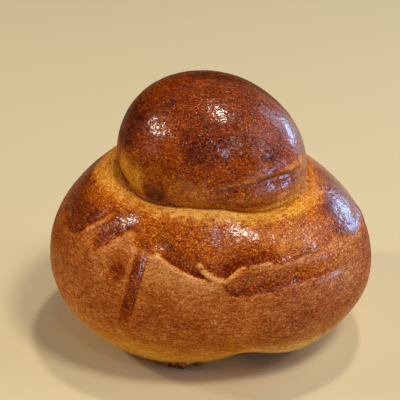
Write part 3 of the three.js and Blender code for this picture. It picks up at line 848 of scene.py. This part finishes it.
class Tree:
    """A short way to wire shader nodes."""

    def __init__(self, material):
        material.use_nodes = True
        self.tree = material.node_tree
        self.tree.nodes.clear()

    def feed(self, node, feeds):
        """Link outputs to a node's sockets, or set the sockets' own values."""
        for name, value in feeds.items():
            if isinstance(value, bpy.types.NodeSocket):
                self.tree.links.new(value, node.inputs[name])
            else:
                node.inputs[name].default_value = value

    def make(self, kind, feeds, output=0, **settings):
        """One output of a new node with these settings, fed with links and values."""
        made = self.tree.nodes.new(kind)
        for name, value in settings.items():
            setattr(made, name, value)
        self.feed(made, feeds)
        return made.outputs[output]

    def face(self, feeds):
        """The material's face: one shader, fed with colours, numbers and normals."""
        shader = self.make("ShaderNodeBsdfPrincipled", feeds)
        self.feed(self.tree.nodes.new("ShaderNodeOutputMaterial"), {"Surface": shader})

    def math(self, operation, *values, clamp=False):
        return self.make("ShaderNodeMath", dict(enumerate(values)), operation=operation, use_clamp=clamp)

    def attribute(self, name):
        return self.make("ShaderNodeAttribute", {}, "Fac", attribute_name=name)

    def ramp(self, value, start, end, low=0.0, high=1.0):
        """A smooth step from low to high while value goes from start to end."""
        feeds = {"Value": value, "From Min": start, "From Max": end, "To Min": low, "To Max": high}
        return self.make("ShaderNodeMapRange", feeds, "Result", interpolation_type="SMOOTHSTEP")

    def noise(self, place, size, detail):
        """Noise whose lumps are about that many millimetres across."""
        feeds = {"Vector": place, "Scale": 1 / (size * MM), "Detail": detail}
        return self.make("ShaderNodeTexNoise", feeds, "Fac")

    def shift(self, place, millimetres):
        """The same coordinates moved along, for a noise that doesn't follow another."""
        return self.make("ShaderNodeVectorMath", {0: place, 1: (millimetres * MM,) * 3}, operation="ADD")

    def fibres(self, place, width, length):
        """Noise drawn out round the bun: it changes fast with radius and height, slowly with x and y."""
        split = self.tree.nodes.new("ShaderNodeSeparateXYZ")
        self.feed(split, {0: place})
        x, y, z = split.outputs
        squares = (self.math("MULTIPLY", side, side) for side in (x, y))
        radius = self.math("SQRT", self.math("ADD", *squares))
        sides = ((radius, width), (z, width), (x, length), (y, length))
        *spread, along = (self.math("MULTIPLY", value, 1 / (size * MM)) for value, size in sides)
        joined = self.make("ShaderNodeCombineXYZ", dict(enumerate(spread)))
        feeds = {"Vector": joined, "W": along, "Scale": 1.0, "Detail": 2.0}
        return self.make("ShaderNodeTexNoise", feeds, "Fac", noise_dimensions="4D")

    def mix(self, share, first, second, blend="MIX"):
        """The first colour taken to the second, or to their product, by a share."""
        feeds = {0: share, 6: first, 7: second}
        return self.make("ShaderNodeMix", feeds, 2, data_type="RGBA", blend_type=blend)

    def tint(self, colour, factors):
        """A colour times another, channel by channel."""
        return self.mix(1.0, colour, factors, "MULTIPLY")

    def blend(self, share, first, second):
        """The first number taken to the second by a share."""
        return self.make("ShaderNodeMix", {0: share, 2: first, 3: second}, data_type="FLOAT")

    def mound(self, *parts):
        """The sum of patterns, each times its height in millimetres."""
        total = 0.0
        for pattern, height in parts:
            total = self.math("MULTIPLY_ADD", pattern, height, total)
        return total

    def bumps(self, relief):
        """Normals of a relief in millimetres."""
        return self.make("ShaderNodeBump", {"Strength": 1.0, "Distance": MM, "Height": relief}, "Normal")

    def colours(self, value, stops):
        """A scale of colours, read at a value from 0 to 1."""
        made = self.tree.nodes.new("ShaderNodeValToRGB")
        scale = made.color_ramp.elements
        while len(scale) < len(stops):
            scale.new(0.5)
        for element, (place, colour) in zip(scale, stops):
            element.position = place
            element.color = colour
        self.feed(made, {"Fac": value})
        return made.outputs["Color"]


def from_srgb(*levels):
    """A linear colour from 0 to 255 display levels."""
    share = np.array(levels) / 255
    linear = np.where(share <= 0.04045, share / 12.92, ((share + 0.055) / 1.055) ** 2.4)
    return (*linear, 1.0)


# Colours of the crust as it browns, from the palest stretched dough to nearly burnt
BROWNING = (
    (0.0, from_srgb(246, 178, 92)),
    (0.15, from_srgb(226, 148, 60)),
    (0.3, from_srgb(204, 122, 40)),
    (0.45, from_srgb(180, 92, 20)),
    (0.6, from_srgb(154, 67, 9)),
    (0.75, from_srgb(120, 45, 6)),
    (0.9, from_srgb(90, 29, 4)),
    (1.0, from_srgb(60, 20, 5)),
)

# Burnt places, darker and lighter
BURNT = from_srgb(62, 26, 16)
CRUMBS = from_srgb(176, 104, 66)

# What the browned colour is multiplied by where the dough is bare, washed, golden, or under a painted sheen
# On bare dough the raised blue is partly the dough's own greyer hue and partly a painted pale sheen
BARE_AND_SHEEN_TINT = (1.0, 1.08, 2.2, 1.0)
WASH_TINT = (1.0, 0.93, 0.6, 1.0)
# Golden is partly the dough's own tan and partly painted warm bounce light from below
GOLDEN_TINT = (1.0, 1.12, 0.45, 1.0)
# A pinkish-blue cast: a painted reflection of bluish window light
ROSY_SHEEN_TINT = (1.0, 1.4, 4.0, 1.0)

# Shine of bare dough and of washed skin, and of the wash that dried over it as a coat
DOUGH_ROUGHNESS = 0.6
SKIN_ROUGHNESS = 0.35
SHEEN_OF_CRUMB = 0.03
COAT_WEIGHT = 0.6
COAT_ROUGHNESS = 0.16
COAT_IOR = 1.7


def baked_crust():
    """Dough that browns from pale gold to deep brown, glossy where it was washed with egg, with blotches,
    fibres, fine specks, pits and a wrinkled skin."""
    material = bpy.data.materials.new("baked_crust")
    t = Tree(material)
    place = t.make("ShaderNodeTexCoord", {}, "Object")
    names = ("brown", "gloss", "dull", "gold", "burnt", "stipple", "rosy_sheen")
    brown, gloss, dull, gold, burnt, stipple, rosy_sheen = (t.attribute(name) for name in names)

    blotch = t.noise(place, 10, 3)
    mottle = t.noise(place, 3.0, 3)
    lumps = t.noise(place, 0.9, 1)
    grain = t.noise(t.shift(place, 17), 0.36, 1)
    streaks = t.fibres(place, 1.3, 7.0)
    wrinkles = t.fibres(place, 0.5, 2.0)
    peel = t.noise(t.shift(place, 8), 1.7, 1)
    pits = t.ramp(t.noise(t.shift(place, 29), 0.5, 0), 0.6, 0.74)
    pores = t.ramp(t.noise(t.shift(place, 51), 0.8, 1), 0.58, 0.68)
    specks = t.ramp(t.noise(t.shift(place, 40), 0.45, 0), 0.64, 0.76)

    for pattern, most in ((blotch, 0.04), (mottle, 0.04), (lumps, 0.04), (streaks, 0.03), (wrinkles, 0.1)):
        brown = t.math("ADD", brown, t.ramp(pattern, 0.3, 0.7, -most, most))
    dots = t.mound((t.ramp(grain, 0.25, 0.75, -1, 1), 0.1), (pits, 0.2))
    dots = t.math("MULTIPLY_ADD", specks, t.ramp(gloss, 0, 1, -0.24, -0.32), dots)
    dots = t.math("MULTIPLY_ADD", t.math("MULTIPLY", pores, gloss), 0.24, dots)
    brown = t.math("MULTIPLY_ADD", dots, stipple, brown)
    brown = t.math("ADD", brown, t.ramp(gloss, 0, 1, 0.0, -0.03))
    colour = t.colours(brown, BROWNING)
    # Bare dough's raised blue is partly a painted pale sheen
    colour = t.mix(gloss, t.tint(colour, BARE_AND_SHEEN_TINT), t.tint(colour, WASH_TINT))
    # Golden: partly own tan, partly painted bounce light
    colour = t.mix(gold, colour, t.tint(colour, GOLDEN_TINT))
    # Painted reflection of bluish window light on bare dough
    colour = t.mix(rosy_sheen, colour, t.tint(colour, ROSY_SHEEN_TINT))
    colour = t.mix(burnt, colour, t.mix(t.ramp(lumps, 0.38, 0.56), BURNT, CRUMBS))

    # Relief in millimetres: wrinkled skin where the wash dried, pitted crumb elsewhere, the wash's own face
    skin_relief = t.mound((lumps, 0.12), (wrinkles, 0.12), (streaks, 0.08), (pores, -0.06), (grain, 0.06))
    dough_relief = t.mound((lumps, 0.14), (wrinkles, 0.16), (grain, 0.12), (pits, -0.1))
    wash_relief = t.mound(
        (lumps, 0.05), (wrinkles, 0.05), (streaks, 0.06), (peel, 0.14), (specks, 0.05), (pores, -0.03),
    )

    shine = t.math("SUBTRACT", gloss, dull, clamp=True)
    t.face({
        "Base Color": colour,
        "Roughness": t.ramp(gloss, 0, 1, DOUGH_ROUGHNESS, SKIN_ROUGHNESS),
        "Specular IOR Level": SHEEN_OF_CRUMB,
        "Normal": t.bumps(t.blend(gloss, dough_relief, skin_relief)),
        "Coat Weight": t.math("MULTIPLY", shine, COAT_WEIGHT),
        "Coat Roughness": COAT_ROUGHNESS,
        "Coat IOR": COAT_IOR,
        "Coat Normal": t.bumps(wash_relief),
    })
    return material


# The bun's one piece

def bun():
    """The baked crust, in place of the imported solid."""
    crust = shape_crust()
    piece = closed_mesh("bun_crust", crust.surface(), brush_crust(crust))
    piece.data.materials.append(baked_crust())
    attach(piece, "root")
    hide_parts("brioche_bun")


# Floor, light and camera

FLOOR_COLOUR = from_srgb(216, 198, 156)
FLOOR_ROUGHNESS = 0.7
FLOOR_HALF = 2.0

# The fill from all round
FILL_COLOUR = (1.0, 0.86, 0.66, 1.0)
FILL_STRENGTH = 0.09

# Lamps and windows, each a name, a bearing, a climb, a distance, a width, a height, watts and a colour. One
# with no height is round.
WARM = (1.0, 0.93, 0.82)
LAMPS = (
    ("left_lamp", -95, 34, 1.0, 0.1, None, 2.7, WARM),
    ("left_glow", -87, 12, 1.0, 0.2, None, 1.2, (0.9, 0.95, 1.0)),
    ("top_lamp", 136, 76, 1.0, 0.1, None, 3.1, WARM),
    ("front_lamp", 47, 59, 1.0, 0.22, None, 5.0, WARM),
    ("right_lamp", 78, 37, 1.1, 0.1, None, 0.9, (0.9, 0.92, 1.0)),
    ("sky_lamp", 6, 50, 1.1, 0.18, None, 1.0, (0.55, 0.7, 1.0)),
    ("window", 136, 6, 1.1, 0.36, 0.22, 3.8, (0.34, 0.6, 1.0)),
    ("upper_window", 136, 25, 1.1, 0.3, 0.25, 0.9, (0.6, 0.75, 1.0)),
    ("side_window", 79, 5, 1.1, 0.36, 0.2, 4.3, (0.28, 0.55, 1.0)),
    ("side_haze", 98, 40, 1.1, 0.5, 0.35, 0.7, (0.6, 0.75, 1.0)),
    ("haze_window", 52, 10, 1.1, 0.5, 0.4, 1.1, (0.65, 0.8, 1.0)),
)

# The camera looks at a point in the middle of the bun, from the front and above
CAMERA_TARGET = np.array((-3.0, -0.75, 43.5)) * MM
CAMERA_DISTANCE = 450 * MM
CAMERA_LOOKS_DOWN = 27
IMAGE_WIDTH = 400
PIXELS_A_MM = 3.14
SENSOR_WIDTH = 36.0


def floor():
    """A square of pale floor under the bun."""
    mesh = bpy.data.meshes.new("floor")
    corners = [(FLOOR_HALF * x, FLOOR_HALF * y, 0) for x, y in ((-1, -1), (1, -1), (1, 1), (-1, 1))]
    mesh.from_pydata(corners, [], [(0, 1, 2, 3)])
    material = bpy.data.materials.new("pale_floor")
    Tree(material).face({"Base Color": FLOOR_COLOUR, "Roughness": FLOOR_ROUGHNESS})
    mesh.materials.append(material)
    piece = bpy.data.objects.new("floor", mesh)
    bpy.context.collection.objects.link(piece)


def lamp(name, bearing, climb, distance, width, height, watts, colour):
    """An area light at a bearing and a climb, in degrees, that faces the middle of the bun."""
    light = bpy.data.lights.new(name, "AREA")
    light.shape = "DISK" if height is None else "RECTANGLE"
    light.size = width
    if height is not None:
        light.size_y = height
    light.energy = watts
    light.color = colour
    turn, rise = math.radians(bearing), math.radians(climb)
    away = np.array((math.sin(turn) * math.cos(rise), -math.cos(turn) * math.cos(rise), math.sin(rise)))
    made = bpy.data.objects.new(name, light)
    made.location = CAMERA_TARGET + distance * away
    made.rotation_euler = (math.pi / 2 - rise, 0, turn)
    bpy.context.collection.objects.link(made)


def light():
    """A soft warm fill, then the lamps and windows."""
    world = bpy.data.worlds.new("soft_fill")
    world.use_nodes = True
    fill = world.node_tree.nodes["Background"].inputs
    fill["Color"].default_value = FILL_COLOUR
    fill["Strength"].default_value = FILL_STRENGTH
    bpy.context.scene.world = world
    for settings in LAMPS:
        lamp(*settings)


def camera():
    """The camera, with a lens that shows a millimetre at its target as PIXELS_A_MM pixels."""
    view = bpy.data.cameras.new("camera")
    view.sensor_width = SENSOR_WIDTH
    view.lens = PIXELS_A_MM * CAMERA_DISTANCE / MM * SENSOR_WIDTH / IMAGE_WIDTH
    made = bpy.data.objects.new("camera", view)
    down = math.radians(CAMERA_LOOKS_DOWN)
    made.location = CAMERA_TARGET + CAMERA_DISTANCE * np.array((0, -math.cos(down), math.sin(down)))
    made.rotation_euler = (math.pi / 2 - down, 0, 0)
    bpy.context.collection.objects.link(made)
    bpy.context.scene.camera = made
    bpy.context.scene.view_settings.view_transform = "Standard"


bun()
floor()
light()
camera()
